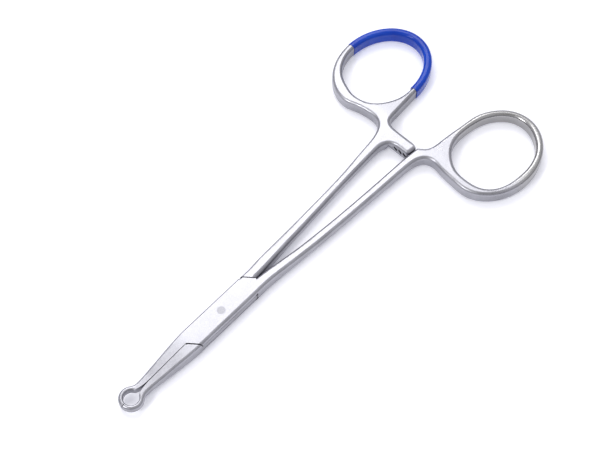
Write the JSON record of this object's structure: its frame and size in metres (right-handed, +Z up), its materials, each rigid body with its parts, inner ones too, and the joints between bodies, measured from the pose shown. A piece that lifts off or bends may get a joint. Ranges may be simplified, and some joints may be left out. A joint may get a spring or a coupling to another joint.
{
  "type": "ring forceps",
  "caption": "Small stainless ring-jaw forceps with box lock, ratchet and finger rings, one finger ring half coated blue; lies flat, closed.",
  "frame": {"origin": "on the pivot axis at the underside of the box lock", "axes": "+X along the closed forceps to the jaw tip, +Z up, out of the side that the picture shows"},
  "size_m": [0.1397, 0.0669, 0.0046],
  "materials": {
    "steel": "satin",
    "rivet_steel": "satin",
    "blue_coating": "gloss"
  },
  "bodies": {
    "box_side": {"box_half": "steel", "pivot_rivet": "rivet_steel"},
    "through_side": {"through_half": "steel", "finger_ring_coating": "blue_coating"}
  },
  "joints": [
    {"name": "box_pivot", "type": "hinge", "parent": "box_side", "child": "through_side", "pos_m": [0, 0, 0.0023], "axis": [0, 0, 1], "range_deg": [0, 60]}
  ]
}
